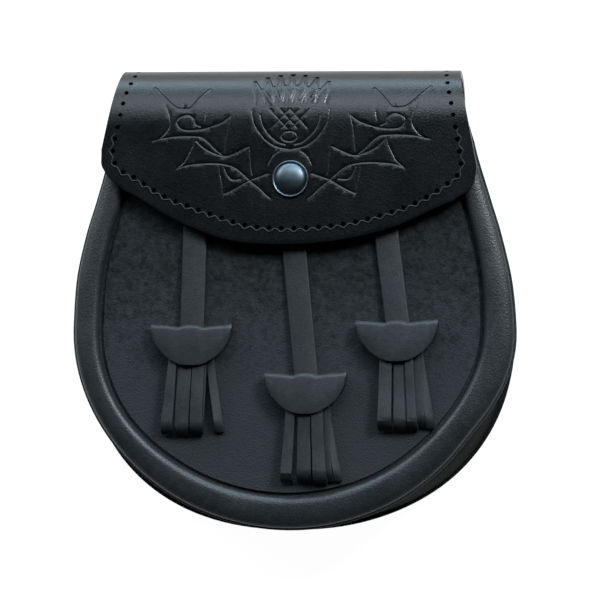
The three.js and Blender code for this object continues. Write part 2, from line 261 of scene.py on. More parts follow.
# How far the hand cut edges stray outward from the even outline, in millimetres. A turn
# of 0 is the left end of the outline, 0.5 the bottom and 1 the right end.
back_stray = [
    {"turn": 0.0, "out": 0.0},
    {"turn": 0.21, "out": 0.0},
    {"turn": 0.32, "out": 0.6},
    {"turn": 0.42, "out": 0.8},
    {"turn": 0.5, "out": 0.2},
    {"turn": 0.59, "out": -1.4},
    {"turn": 0.67, "out": -1.5},
    {"turn": 0.74, "out": -0.8},
    {"turn": 0.8, "out": 0.0},
    {"turn": 0.86, "out": -0.4},
    {"turn": 0.92, "out": -2.0},
    {"turn": 1.0, "out": -4.0},
]
front_stray = [
    {"turn": 0.0, "out": 0.6},
    {"turn": 0.21, "out": 0.9},
    {"turn": 0.33, "out": 0.2},
    {"turn": 0.5, "out": 1.2},
    {"turn": 0.59, "out": 0.3},
    {"turn": 0.64, "out": -0.8},
    {"turn": 0.685, "out": -1.4},
    {"turn": 0.72, "out": 0.6},
    {"turn": 0.755, "out": 2.6},
    {"turn": 0.79, "out": 3.0},
    {"turn": 0.87, "out": 1.3},
    {"turn": 0.94, "out": 0.5},
    {"turn": 1.0, "out": -1.4},
]
side_stray = [
    {"turn": 0.0, "out": 0.0},
    {"turn": 0.84, "out": 0.0},
    {"turn": 0.92, "out": -1.2},
    {"turn": 1.0, "out": -3.0},
]


def strayed(line, table):
    last = len(line) - 1
    moved = []
    for i, point in enumerate(line):
        along = (line[min(i + 1, last)] - line[max(i - 1, 0)]).normalized()
        out = Vector((along.y, -along.x, 0))
        moved.append(point + out * read_table(table, "turn", "out", i / last) * mm)
    return moved


def deselect():
    bpy.ops.object.select_all(action="DESELECT")


def edit(piece, *steps):
    """Runs edit mode operators on the whole piece."""
    deselect()
    piece.select_set(True)
    bpy.context.view_layer.objects.active = piece
    bpy.ops.object.mode_set(mode="EDIT")
    bpy.ops.mesh.select_all(action="SELECT")
    for step in steps:
        step()
    bpy.ops.object.mode_set(mode="OBJECT")


def open_slots(piece, count):
    """Gives a piece empty material slots, so that its faces can be numbered."""
    while len(piece.data.materials) < count:
        piece.data.materials.append(None)


def cut_hide(name, line, low, high):
    """A flat cut of hide: a ring placed on the outline, filled and drawn out."""
    deselect()
    bpy.ops.mesh.primitive_circle_add(vertices=len(line), radius=half_width)
    piece = bpy.context.object
    piece.name = name
    open_slots(piece, 2)
    for vertex, point in zip(piece.data.vertices, line):
        vertex.co = (point.x, point.y, low)
    edit(
        piece,
        bpy.ops.mesh.edge_face_add,
        lambda: bpy.ops.mesh.extrude_region_move(TRANSFORM_OT_translate={"value": (0, 0, high - low)}),
        lambda: bpy.ops.mesh.select_all(action="SELECT"),
        lambda: bpy.ops.mesh.normals_make_consistent(inside=False),
    )
    return piece


def apply_modifier(piece, kind, **settings):
    modifier = piece.modifiers.new(kind.lower(), kind)
    for name, value in settings.items():
        setattr(modifier, name, value)
    deselect()
    piece.select_set(True)
    bpy.context.view_layer.objects.active = piece
    bpy.ops.object.modifier_apply(modifier=modifier.name)


def soften_edges(piece, width, segments=3, angle=40):
    limit = math.radians(angle)
    apply_modifier(piece, "BEVEL", width=width, segments=segments, limit_method="ANGLE",
                   angle_limit=limit, use_clamp_overlap=True)


def mark_edge(piece):
    """Gives a flat cut's raw edge the second material."""
    flat = 0.9
    for face in piece.data.polygons:
        if abs(face.normal.z) < flat:
            face.material_index = 1


def finish(piece, material, slot, *nodes, smooth=35, extras=()):
    """Shades, colours and fixes a finished piece to the pouch. Faces of material 1 and 2
    get the extra materials."""
    deselect()
    piece.select_set(True)
    bpy.context.view_layer.objects.active = piece
    bpy.ops.object.shade_smooth_by_angle(angle=math.radians(smooth))
    piece.data.materials.clear()
    piece.data.materials.append(material)
    for extra in extras:
        piece.data.materials.append(extra)
    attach(piece, "root")
    if nodes:
        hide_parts(*nodes)


def leather(name, dark, light, roughness, grain, mottle, shine, seed=0.0, painted_lower_sheen=0.0):
    """Dyed hide: mottled colour, pores and creases between them, and uneven polish. A painted lower
    sheen pales it toward the pouch's bottom: painted light standing in for the light its lower part
    catches."""
    material, shader, tones, place = new_material(name)
    moved = tones.node("Mapping", {}, {"Vector": place, "Location": (seed, seed * 0.7, 0)})
    broad = tones.noise(moved, scale=mottle, detail=4.0, roughness=0.6)
    fine = tones.noise(moved, scale=900.0, detail=4.0, roughness=0.65)
    pores = {"Vector": moved, "Scale": 750.0}
    cells = tones.node("TexVoronoi", {"feature": "DISTANCE_TO_EDGE"}, pores)
    creases = 1.0 - (cells * 3.2).clamped()
    grainy = tones.noise(moved, scale=420.0, detail=3.0, roughness=0.6)
    patches = (broad - 0.5) * 1.5 + (fine - 0.5) * 1.1 + (grainy - 0.5) * 1.6 + 0.4
    # Painted sheen: the colour pales toward the pouch's bottom, standing in for the light that the
    # panel's lower part catches
    if painted_lower_sheen:
        sheen_start = 0.01
        sheen_growth = 11.0
        height = tones.node("SeparateXYZ", {}, {"Vector": place}, output=1)
        patches = patches + ((sheen_start - height) * sheen_growth).clamped() * painted_lower_sheen
    patches = patches.clamped()
    relief = (fine * 0.5) + (broad * 0.8) - (creases * 0.55)
    bump = tones.node("Bump", {}, {"Strength": 1.0, "Distance": grain, "Height": relief})
    feed(tones, shader, Base_Color=patches.mix(dark, light), Normal=bump,
         Roughness=roughness + (fine - 0.5) * 0.18 + (broad - 0.5) * 0.16,
         Specular_IOR_Level=shine)
    return material


back_flare = back_high.x - half_width
back_hide = leather("back_hide", (0.006, 0.0066, 0.0072), (0.012, 0.0132, 0.0144),
                    roughness=0.7, grain=0.00016, mottle=55.0, shine=0.1)
# Painted highlight: the raw edges are coloured paler, partly the cut hide's own tone and partly standing
# in for the light the edges catch
raw_edge_hide_and_highlight = leather("raw_edge_hide_and_highlight", (0.05, 0.054, 0.058), (0.14, 0.15, 0.155),
                   roughness=0.5, grain=0.00012, mottle=300.0, shine=0.5, seed=0.4)
back_line = strayed(pouch_line(-back_flare, fold_top - back_high.y, 0.0), back_stray)
back = cut_hide("back", back_line, back_low.z, back_high.z)
soften_edges(back, 0.6 * mm)
mark_edge(back)
finish(back, back_hide, "panel_leather", "back_panel", extras=[raw_edge_hide_and_highlight])


# Gusset. A long strip of thinner hide that joins front and back round the sides and the
# bottom, folded inward along its middle. Its edges are turned between the panels.
def weave_rows(name, rows, closed=False):
    """A grid laid on rows of points. A closed one joins each row's two ends."""
    wide = len(rows[0]) + (1 if closed else 0)
    deselect()
    bpy.ops.mesh.primitive_grid_add(x_subdivisions=wide - 1, y_subdivisions=len(rows) - 1, size=0.1)
    piece = bpy.context.object
    piece.name = name
    for i, vertex in enumerate(piece.data.vertices):
        row = rows[i // wide]
        vertex.co = row[(i % wide) % len(row)]
    if closed:
        edit(
            piece,
            lambda: bpy.ops.mesh.remove_doubles(threshold=1e-6),
            lambda: bpy.ops.mesh.select_all(action="DESELECT"),
            lambda: bpy.ops.mesh.select_non_manifold(extend=False),
            lambda: bpy.ops.mesh.fill_holes(sides=0),
            lambda: bpy.ops.mesh.select_all(action="SELECT"),
            lambda: bpy.ops.mesh.normals_make_consistent(inside=False),
        )
    else:
        edit(piece, lambda: bpy.ops.mesh.normals_make_consistent(inside=False))
    return piece


gusset_low, gusset_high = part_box("gusset")
gusset_wall = 1.8 * mm
gusset_inset = half_width - gusset_high.x
gusset_fold = 4 * mm
gusset_crimp = 0.25 * mm
crimp_waves = 6
gusset_steps = 14
gusset_lines = []
for i in range(gusset_steps + 1):
    share = i / gusset_steps
    fold_in = math.sin(math.pi * share) ** 1.6
    crimp = gusset_crimp * math.sin(share * math.pi * crimp_waves)
    inset = gusset_inset + gusset_fold * fold_in + crimp
    z = gusset_low.z + (gusset_high.z - gusset_low.z) * share
    line = strayed(pouch_line(inset, fold_top - gusset_high.y, share), side_stray)
    gusset_lines.append([p + Vector((0, 0, z)) for p in line])
gusset = weave_rows("side_gusset", gusset_lines)
middle = Vector((0, 0, (gusset_low.z + gusset_high.z) / 2))
first_face = gusset.data.polygons[len(gusset.data.polygons) // 2]
if first_face.normal.dot(first_face.center - middle) < 0:
    edit(gusset, bpy.ops.mesh.flip_normals)
apply_modifier(gusset, "SOLIDIFY", thickness=gusset_wall, offset=-1)
soften_edges(gusset, 0.35 * mm, segments=2)
gusset_hide = leather("gusset_hide", (0.003, 0.0033, 0.0036), (0.006, 0.0066, 0.0072),
                      roughness=0.6, grain=0.00022, mottle=80.0, shine=0.12)
finish(gusset, gusset_hide, "side_leather", "gusset")


# Front panel. A flat cut of hide with a dull, mottled face, sewn to the gusset, with a painted sheen
# that pales it toward the bottom. Its rim shows outside the welt as a thin bright edge, partly a painted
# highlight.
panel_hide = leather("panel_hide", (0.0068, 0.0079, 0.0087), (0.03, 0.0345, 0.0375),
                     roughness=0.86, grain=0.00022, mottle=190.0, shine=0.16, seed=1.3, painted_lower_sheen=1.4)
front_line = strayed(pouch_line(0, fold_top - front_high.y), front_stray)
front = cut_hide("front", front_line, front_low.z, front_high.z)
soften_edges(front, 0.7 * mm)
mark_edge(front)


def tubes(name, paths, radius, rings=2):
    """Round rods along paths, as one mesh."""
    deselect()
    bpy.ops.curve.primitive_bezier_curve_add()
    piece = bpy.context.object
    piece.name = name
    curve = piece.data
    curve.splines.clear()
    for path in paths:
        spline = curve.splines.new("POLY")
        spline.points.add(len(path) - 1)
        for point, place in zip(spline.points, path):
            point.co = (*place, 1)
    curve.dimensions = "3D"
    curve.bevel_depth = radius
    curve.bevel_resolution = rings
    curve.use_fill_caps = True
    bpy.ops.object.convert(target="MESH")
    return bpy.context.object


def carve(piece, cutter, surface=0):
    """Cuts a rod's shape out of a piece. The cut faces get a material number."""
    cutter.data.materials.clear()
    open_slots(cutter, surface + 1)
    cutter.data.polygons.foreach_set("material_index", [surface] * len(cutter.data.polygons))
    edit(
        cutter,
        lambda: bpy.ops.mesh.remove_doubles(threshold=1e-7),
        lambda: bpy.ops.mesh.normals_make_consistent(inside=False),
    )
    apply_modifier(piece, "BOOLEAN", object=cutter, operation="DIFFERENCE", solver="MANIFOLD")
    bpy.data.objects.remove(cutter)


# The welt's inner edge is drawn down into a crease in the panel, coloured near black as painted shade
crease_inset = 10.8 * mm
crease_aside = 0.35 * mm
crease_radius = 1.45 * mm
crease_height = front_high.z + 0.15 * mm
crease_stray = [
    {"turn": 0.0, "out": 0.0},
    {"turn": 0.21, "out": 0.0},
    {"turn": 0.3, "out": -0.5},
    {"turn": 0.38, "out": -2.1},
    {"turn": 0.5, "out": -2.4},
    {"turn": 0.59, "out": -2.9},
    {"turn": 0.66, "out": -3.5},
    {"turn": 0.72, "out": -2.2},
    {"turn": 0.79, "out": 0.0},
    {"turn": 1.0, "out": 0.0},
]
crease_line = pouch_line(crease_inset + crease_aside, fold_top - front_high.y - 1 * mm)
crease_line = strayed(crease_line, crease_stray)
crease_path = [p + Vector((0, 0, crease_height)) for p in crease_line]
open_slots(front, 3)
carve(front, tubes("crease", [crease_path], crease_radius), surface=2)
# Painted shade: a near black colour for the shade that falls in the crease
crease_painted_shade = leather("crease_painted_shade", (0.0006, 0.0007, 0.0008), (0.002, 0.0023, 0.0026),
                      roughness=0.85, grain=0.0001, mottle=150.0, shine=0.05, seed=2.9)
finish(front, panel_hide, "panel_leather", "front_panel", extras=[raw_edge_hide_and_highlight, crease_painted_shade])


# Welt. A smooth strip of thick hide pressed into a round ridge, which stands up round the
# front panel from mouth to mouth and is sewn down along its inner edge.
rim_low, rim_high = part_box("front_rim")
rim_rise = rim_high.z - rim_low.z
rim_steps = 26
rim_peak = 0.68
rim_power = 2.2
rim_inset = 0.9 * mm
rim_outer = strayed(pouch_line(rim_inset, fold_top - rim_high.y), front_stray)
rim_inner = strayed(pouch_line(crease_inset, fold_top - rim_high.y), crease_stray)
rim_lines = []
for i in range(rim_steps + 1):
    share = 0.5 - 0.5 * math.cos(math.pi * i / rim_steps)
    if share < rim_peak:
        rise = (1 - ((rim_peak - share) / rim_peak) ** rim_power) ** 0.6
    else:
        rise = (1 - ((share - rim_peak) / (1 - rim_peak)) ** rim_power) ** 0.5
    lift = Vector((0, 0, rim_low.z + rim_rise * rise))
    rim_lines.append([a.lerp(b, share) + lift for a, b in zip(rim_outer, rim_inner)])
for share in (0.75, 0.5, 0.25):
    lift = Vector((0, 0, rim_low.z))
    rim_lines.append([a.lerp(b, share) + lift for a, b in zip(rim_outer, rim_inner)])
rim_rows = [list(row) for row in zip(*rim_lines)]
rim = weave_rows("welt", rim_rows, closed=True)
welt_hide = leather("welt_hide", (0.0132, 0.0161, 0.0178), (0.0242, 0.0284, 0.031),
                    roughness=0.42, grain=0.00008, mottle=60.0, shine=0.5, seed=2.1)
finish(rim, welt_hide, "rim_leather", "front_rim", smooth=60)


# Flap. Thick polished hide, sewn to the back, folded over the pouch's top and down its
# front. Knotwork and a thistle are tooled into its face, and holes are punched for a
# border stitch along its edge.
flap_wall = 3 * mm
fold_drop = 24 * mm
fold_fall = 18 * mm
fold_back = 14 * mm
tail_down = 36 * mm
flap_face = flap_high.z
fold_z = flap_face - fold_fall
tail_face = flap_low.z
flap_shift = -1.9 * mm
flap_half = 82.25 * mm
fold_half = 73.75 * mm
flap_drop = fold_top - flap_low.y
widest_share = 0.56
lift_fade = 22 * mm
lift_right = 0.9
lift_left = 1.9

# Lower edge of the flap: its drop below the fold, as shares of the whole drop
edge_table = [
    {"across": -1.0, "drop": 0.46},
    {"across": -0.985, "drop": 0.54},
    {"across": -0.94, "drop": 0.62},
    {"across": -0.86, "drop": 0.69},
    {"across": -0.58, "drop": 0.86},
    {"across": -0.3, "drop": 0.975},
    {"across": 0.0, "drop": 1.0},
    {"across": 0.3, "drop": 0.975},
    {"across": 0.58, "drop": 0.9},
    {"across": 0.88, "drop": 0.76},
    {"across": 0.95, "drop": 0.71},
    {"across": 0.985, "drop": 0.66},
    {"across": 1.0, "drop": 0.59},
]


def flap_side(down):
    """Half of the flap's width. It widens evenly from the fold to its widest place."""
    open_share = min(max(down / (flap_drop * widest_share), 0.0), 1.0)
    return fold_half + (flap_half - fold_half) * open_share


def fold_lift(x, down):
    """How far the hand folded top stands above an even fold, most of all at the left."""
    tilt = 0.5 - x / (2 * fold_half)
    return between(lift_right, lift_left, tilt) * mm * max(1 - down / lift_fade, 0.0)


def flap_surface(down):
    """Height of the flap's face at a distance below the fold, seen from the front."""
    rest = max(1 - down / fold_drop, 0.0)
    return fold_z + fold_fall * math.sqrt(max(1 - rest * rest, 0.0))


flap_columns = 96
tail_steps = 5
turn_steps = 12
bend_steps = 16
front_steps = 24
flap_rows = []
for i in range(flap_columns + 1):
    across = math.sin(math.pi / 2 * (2 * i / flap_columns - 1))
    drop = flap_drop * read_table(edge_table, "across", "drop", across)
    profile = []
    for k in range(tail_steps):
        down = tail_down + (fold_back - tail_down) * k / tail_steps
        profile.append((down, tail_face, False))
    for k in range(turn_steps + 1):
        angle = math.pi / 2 * k / turn_steps
        profile.append((fold_back - fold_back * math.sin(angle),
                        fold_z - (fold_z - tail_face) * math.cos(angle), False))
    for k in range(1, bend_steps + 1):
        angle = math.pi / 2 * k / bend_steps
        profile.append((fold_drop - fold_drop * math.cos(angle),
                        fold_z + fold_fall * math.sin(angle), True))
    for k in range(1, front_steps + 1):
        profile.append((fold_drop + (drop - fold_drop) * k / front_steps, flap_face, True))
    row = []
    for down, z, on_front in profile:
        half = flap_side(down) if on_front else fold_half
        x = flap_shift + across * half
        row.append(Vector((x, fold_top - down + fold_lift(x, down), z)))
    flap_rows.append(row)
flap = weave_rows("tooled_flap", flap_rows)
face = max(flap.data.polygons, key=lambda p: p.center.z - abs(p.center.x))
if face.normal.z < 0:
    edit(flap, bpy.ops.mesh.flip_normals)
apply_modifier(flap, "SOLIDIFY", thickness=flap_wall, offset=-1)
soften_edges(flap, 0.7 * mm, angle=60)

# Lines of the tooling, in millimetres: distance from the middle, and below the fold.
# The knot's are drawn once and turned over for the other side.
knot_lines = [
    [(60.5, 7.8), (51.5, 15.8), (47.9, 17.2), (43.8, 16.9), (40.3, 13), (35.5, 8.6)],
    [(54.3, 16.5), (52.6, 21.5), (53, 25.6), (56.8, 30), (60.3, 31.2)],
    [(60.3, 31.2), (55, 29.9), (48, 29.2), (41.4, 29.3), (38.4, 29.8), (35.3, 32.2),
     (32.2, 35.3), (29.5, 37.3)],
    [(38.9, 25), (41.5, 23.9), (42, 21.7), (45.1, 19.9), (49, 21.5), (49.4, 23.9), (47.2, 26.1),
     (43.2, 26.6), (38.4, 26.1), (34.1, 24.9), (29.7, 23.2), (26, 20.5)],
    [(36.8, 19.1), (37.6, 23.5)],
    [(26, 20.5), (27.2, 26), (28, 31.8), (28.4, 36.5)],
    [(41.9, 30), (42.3, 33.1), (44.4, 37.4), (46, 40.4), (49.4, 43.3)],
    [(49.4, 43.3), (44.6, 41.8), (39, 41.2), (33.4, 41), (28.6, 41.5), (25.2, 42.4), (22.4, 44),
     (19.3, 46.7), (16.4, 49.3), (13, 52), (10.5, 54.5), (8, 56.5)],
    [(41, 31.1), (37.9, 34), (35.2, 35.7), (30.8, 37.5), (27.3, 37.9), (23, 36.3), (20, 34.8),
     (17.6, 33.8)],
    [(17.6, 33.8), (17.1, 39), (16.7, 43.7), (15.9, 46.6)],
    [(30.8, 42), (30.2, 46), (29.3, 50), (28.9, 54.5)],
    [(28.9, 54.5), (25, 52.8), (21, 50.6), (17.5, 48.5), (13, 46.9), (9.6, 45.6)],
    [(28.6, 42.8), (27, 46.3), (24.8, 48.2), (21, 47.9)],
    [(17, 18), (15.8, 24), (12.8, 28.8), (9.7, 31.8), (5.5, 34.1), (0.4, 35.1)],
    [(13.2, 20), (11.8, 25), (9, 29), (5.2, 32), (1.8, 33)],
    [(4.4, 35.6), (7.4, 38), (9.7, 42.1)],
]

# The thistle's crown is two rows of rays, and its heart a mesh of crossing lines
thistle_middle = -0.4
rays = []
for i in range(-3, 4):
    tip = (thistle_middle + 5.4 * i, 1.8 + 0.38 * i * i)
    for lean in (-1, 1):
        foot = (thistle_middle + 4.1 * (i + 0.72 * lean), 14.6 + 0.2 * abs(i))
        bend = (between(foot[0], tip[0], 0.55) + 0.5 * lean, between(foot[1], tip[1], 0.5))
        rays.append([foot, bend, tip])
for i in range(-3, 3):
    tip = (thistle_middle + 4.9 * (i + 0.5), 6.8 + 0.3 * (i + 0.5) ** 2)
    for lean in (-1, 1):
        rays.append([tip, (thistle_middle + 4.1 * (i + 0.5 + 0.4 * lean), 13.2)])
mesh_lines = []
for i in range(-2, 3):
    start = thistle_middle + 4.4 * i
    for lean in (-1, 1):
        end = start + lean * 8.0
        if abs(end - thistle_middle) < 11:
            mesh_lines.append([(start, 17.6), (end, 26.2)])

# A small ring below the mesh
berry = []
for i in range(13):
    angle = 2 * math.pi * i / 12
    berry.append((thistle_middle + 3.5 * math.cos(angle), 29.5 + 2.2 * math.sin(angle)))


def flap_point(x, down, lift=0.0):
    return Vector((x, fold_top - down + fold_lift(x, down), flap_surface(down) + lift))


def smooth_path(points, step):
    """Points along a smooth line through the given ones."""
    made = []
    last = len(points) - 1
    for i in range(last):
        a, b, c, d = (points[min(max(k, 0), last)] for k in range(i - 1, i + 3))
        count = max(2, round(math.dist(b, c) / step))
        for k in range(count):
            t = k / count
            made.append(tuple(
                q + 0.5 * t * (r - p + t * (2 * p - 5 * q + 4 * r - s + t * (3 * q - p - 3 * r + s)))
                for p, q, r, s in zip(a, b, c, d)
            ))
    return made + [tuple(points[last])]


def mirrored(lines):
    return [[(-x, down) for x, down in line] for line in lines]


groove_radius = 1.2 * mm
groove_lift = 0.98 * mm
open_slots(flap, 2)
for line in knot_lines + mirrored(knot_lines) + rays + mesh_lines + [berry]:
    path = [flap_point(x * mm, down * mm, groove_lift) for x, down in smooth_path(line, 0.9)]
    carve(flap, tubes("groove", [path], groove_radius), surface=1)

# Border holes. They follow the edge from the tail on the back, over the fold on the
# left, round the front and back over the fold on the right, at an even pitch.
hole_pitch = 5.35 * mm
hole_radius = 1.05 * mm
hole_depth = 2.6
thread_radius = 0.36 * mm
thread_start = 26 * mm
zigzag_near = 0.1
zigzag_far = 1.9
hole_border = [
    (-69.6, 0.3), (-70.4, 4), (-72.9, 11.9), (-76, 27.4), (-77.4, 37.3), (-74.5, 43.2), (-68, 46.8),
    (-54.6, 55.1), (-44.9, 59.1), (-31, 64), (-17.7, 68.1), (-1.4, 69.2), (12, 68.7), (25.5, 67.1),
    (41.7, 63.1), (56.6, 57.4), (70.2, 48.6), (73.5, 43.4), (72.3, 33.1), (69.8, 18.8), (67.6, 9),
    (65.8, 0.3),
]
border = [flap_point(x * mm, down * mm) for x, down in smooth_path(hole_border, 0.8)]
for side in (0, -1):
    edge_x = hole_border[side][0] * mm
    turn_over = []
    for k in range(25):
        angle = math.pi / 2 * k / 24
        down = fold_back - fold_back * math.cos(angle)
        turn_over.append(Vector((edge_x, fold_top - down + fold_lift(edge_x, down),
                                 fold_z - (fold_z - tail_face) * math.sin(angle))))
    for k in range(1, 9):
        down = between(fold_back, tail_down - 6 * mm, k / 8)
        turn_over.append(Vector((edge_x, fold_top - down, tail_face)))
    border = turn_over[::-1] + border if side == 0 else border + turn_over


def even_places(path, pitch):
    """Places and directions at an even pitch along a path."""
    places = []
    travelled = 0.0
    wanted = pitch / 2
    for a, b in zip(path, path[1:]):
        length = (b - a).length
        while length > 0 and travelled + length >= wanted:
            places.append((a.lerp(b, (wanted - travelled) / length), (b - a).normalized()))
            wanted += pitch
        travelled += length
    return places


def flap_outward(place):
    """The direction out of the flap's face at a place on it."""
    down = fold_top - place.y
    if place.z > fold_z:
        drop, reach = fold_drop, fold_fall
    else:
        drop, reach = fold_back, fold_z - tail_face
    return Vector((0, max(drop - down, 0.0) / drop ** 2, (place.z - fold_z) / reach ** 2)).normalized()


# The thread shows only on the front, below the fold, where it zigzags beside the holes
holes = []
lips = []
for i, (place, along) in enumerate(even_places(border, hole_pitch / 2)):
    out = flap_outward(place)
    aside = out.cross(along)
    if i % 2 == 0:
        holes.append([place - out * hole_depth * mm, place + out * 0.8 * mm])
    if fold_top - place.y > thread_start and place.z > fold_z:
        off_line = zigzag_near if i % 2 else zigzag_far
        lips.append(place - aside * off_line * mm + out * 0.02 * mm)
carve(flap, tubes("holes", holes, hole_radius))

lip_path = []
for a, b in zip(lips, lips[1:]):
    lip_path += [a.lerp(b, k / 4) for k in range(4)]
lip_path = [a.lerp(b, 0.5) for a, b in zip(lip_path, lip_path[1:])]
thread_hide = leather("thread", (0.006, 0.007, 0.008), (0.011, 0.0126, 0.014),
                      roughness=0.6, grain=0.00004, mottle=120.0, shine=0.4, seed=6.1)
border_thread = tubes("border_thread", [lip_path], thread_radius)
finish(border_thread, thread_hide, "flap_leather", smooth=60)

flap_hide = leather("flap_hide", (0.0008, 0.0011, 0.0014), (0.0024, 0.003, 0.0035),
                    roughness=0.31, grain=0.00005, mottle=45.0, shine=0.45, seed=3.7)
# Painted highlight: the tooled lines are coloured far lighter than the flap, standing in for the light
# they catch
groove_painted_highlight = leather("groove_painted_highlight", (0.014, 0.016, 0.0177), (0.022, 0.0252, 0.0278),
                      roughness=0.8, grain=0.00005, mottle=200.0, shine=0.08, seed=8.3)
finish(flap, flap_hide, "flap_leather", "flap", smooth=30, extras=[groove_painted_highlight])


# Straps. Three flat strips of smooth lighter hide, held under the flap, that run down the
# front and through the slit in each tassel's cap.
lay_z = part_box("front_rim")[0].z
strap_wall = 1.8 * mm
strap_width = 10.6 * mm
cap_wall = 1.4 * mm
cap_width = 35.4 * mm
cap_height = 17.5 * mm
pouch_width = 188.5 * mm
pouch_height = 197.5 * mm

# Each tassel's place, as shares of the pouch's width and height, and in degrees how its
# strap leans and how its cap is turned
tassels = [
    {"name": "left", "across": -0.2235, "down": 0.56, "lean": -0.5, "cap_turn": 0.2},
    {"name": "centre", "across": 0.040, "down": 0.664, "lean": 6.4, "cap_turn": 0.8},
    {"name": "right", "across": 0.2475, "down": 0.55, "lean": 8.0, "cap_turn": 1.0},
]


def ribbon(name, path, width, wall, corner=0.4):
    """A strip of hide along a path, with rounded edges. Each row of the path is a place,
    the direction across the strip, and a share of the width."""
    rings = []
    for i, (place, across, share) in enumerate(path):
        before = path[max(i - 1, 0)][0]
        after = path[min(i + 1, len(path) - 1)][0]
        out = across.cross((after - before).normalized()).normalized()
        half = width * share / 2
        round_off = wall * corner
        ring = []
        for turn in range(4):
            sign_x = (1, -1, -1, 1)[turn]
            sign_z = (1, 1, -1, -1)[turn]
            for k in range(4):
                angle = math.pi / 2 * (turn + k / 3)
                ring.append(place
                            + across * (sign_x * (half - round_off) + round_off * math.cos(angle))
                            + out * (sign_z * (wall / 2 - round_off) + round_off * math.sin(angle)))
        rings.append(ring)
    return weave_rows(name, rings, closed=True)


strap_hide = leather("strap_hide", (0.0155, 0.018, 0.0197), (0.026, 0.0297, 0.0324),
                     roughness=0.5, grain=0.00006, mottle=60.0, shine=0.35, seed=4.9)
strap_rise = 1.7 * mm
rise_length = 45 * mm
for tassel in tassels:
    low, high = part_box("tassel_strap_" + tassel["name"])
    lean = math.tan(math.radians(tassel["lean"]))
    cap_x = tassel["across"] * pouch_width
    cap_y = fold_top - tassel["down"] * pouch_height
    tassel["place"] = Vector((cap_x, cap_y, lay_z))
    across = Vector((1, 0, 0))
    path = []
    for k in range(31):
        y = between(high.y, low.y, k / 30)
        rise = strap_rise * min(max(1 - (y - cap_y) / rise_length, 0.0), 1.0)
        place = Vector((cap_x - lean * (y - cap_y), y, lay_z + strap_wall / 2 + rise))
        path.append((place, across, 1.0))
    strap = ribbon("strap_" + tassel["name"], path, strap_width, strap_wall)
    finish(strap, strap_hide, "strap_leather", "tassel_strap_" + tassel["name"], smooth=50)


# Fringes. Each is one piece of hide cut into strips from below and rolled up, with the
# roll hidden in the cap, so that its strips hang over each other in layers.
fringe_length = 46.4
length_stray = 0.5
under_shorter = 1.2
fringe_top = 5.0 * mm
fringe_wall = 1.5 * mm
strip_width = 5 * mm
strip_steps = 24
strip_curl = 0.16
under_roll = 0.7
wave_height = 0.35 * mm
curl_length = 3.0 * mm
curl_height = 0.85 * mm
shade_tips_below = 43.2 * mm

# Each strip, in millimetres: its place across and its width at the cap's lower edge, the
# same two at its tip, and its layer
fringe_strips = {
    "left": [(-7.8, 3.5, -10.4, 5.4, 2), (-2.6, 6.0, -3.8, 6.4, 1), (3.3, 5.2, 2.7, 5.6, 2),
             (5.4, 3.0, 4.2, 3.0, 0), (8.0, 3.4, 12.4, 4.6, -1)],
    "centre": [(-6.1, 3.8, -7.9, 5.2, 2), (-0.4, 5.3, 0.0, 6.6, 1), (5.1, 5.0, 6.9, 5.9, 2),
               (8.0, 2.6, 10.6, 3.4, 0), (8.8, 3.0, 14.2, 4.0, -1)],
    "right": [(-4.6, 5.2, -4.9, 6.2, 2), (1.2, 5.0, 1.9, 6.0, 1), (5.2, 3.6, 7.2, 4.4, 2),
              (7.8, 3.4, 10.6, 4.2, 0), (9.6, 3.2, 14.6, 4.2, -1)],
}
rolls = random.Random(11)
tassel_hide = leather("tassel_hide", (0.018, 0.021, 0.023), (0.03, 0.034, 0.037),
                      roughness=0.52, grain=0.00006, mottle=60.0, shine=0.35, seed=7.2)
# Painted shade: a near black colour on the strips' drooping ends, for the shadow under the tips
tip_painted_shade = leather("tip_painted_shade", (0.001, 0.0012, 0.0014), (0.003, 0.0034, 0.0038),
                   roughness=0.8, grain=0.00012, mottle=150.0, shine=0.08, seed=2.7)


def join(name, pieces):
    deselect()
    for piece in pieces:
        piece.select_set(True)
    bpy.context.view_layer.objects.active = pieces[0]
    bpy.ops.object.join()
    pieces[0].name = name
    return pieces[0]


held = cap_height * 0.75
for tassel in tassels:
    strips = []
    for top_x, top_width, tip_x, tip_width, layer in fringe_strips[tassel["name"]]:
        shorter = under_shorter if layer < 1 else 0
        long = (fringe_length + rolls.uniform(-length_stray, length_stray) - shorter) * mm
        curl = rolls.uniform(-strip_curl, strip_curl)
        path = []
        for k in range(strip_steps + 1):
            share = k / strip_steps
            down = between(fringe_top, long, share)
            fall = min(max((down - held) / (long - held), 0.0), 1.0)
            x = between(top_x * 0.85 if fall == 0 else top_x, tip_x, fall ** 1.15) * mm
            head_z = (2.3 + layer * 0.65) * mm + strap_wall / 2
            tip_z = (2.7 + layer * 1.0) * mm + strap_wall / 2
            wave = wave_height * math.sin(share * 7 + top_x)
            z = between(head_z, tip_z, fall ** 1.6) + max(wave, -0.1 * mm) * (layer > 0)
            droop = min(max(1 - (long - down) / curl_length, 0.0), 1.0)
            z = between(z, curl_height, droop ** 1.3)
            roll = (curl - (under_roll if layer < 0 else 0)) * fall * (1 - droop)
            side = Vector((math.cos(roll), 0, math.sin(roll)))
            place = tassel["place"] + Vector((x, -down, z))
            path.append((place, side, between(top_width, tip_width, fall) * mm / strip_width))
        strips.append(ribbon("strip", path, strip_width, fringe_wall, corner=0.22))
    fringe = join("fringe_" + tassel["name"], strips)
    # The drooping ends below this distance get the painted shade
    open_slots(fringe, 2)
    for face in fringe.data.polygons:
        face.material_index = 1 if tassel["place"].y - face.center.y > shade_tips_below else 0
    finish(fringe, tassel_hide, "strap_leather", "tassel_fringe_" + tassel["name"], smooth=40,
           extras=[tip_painted_shade])


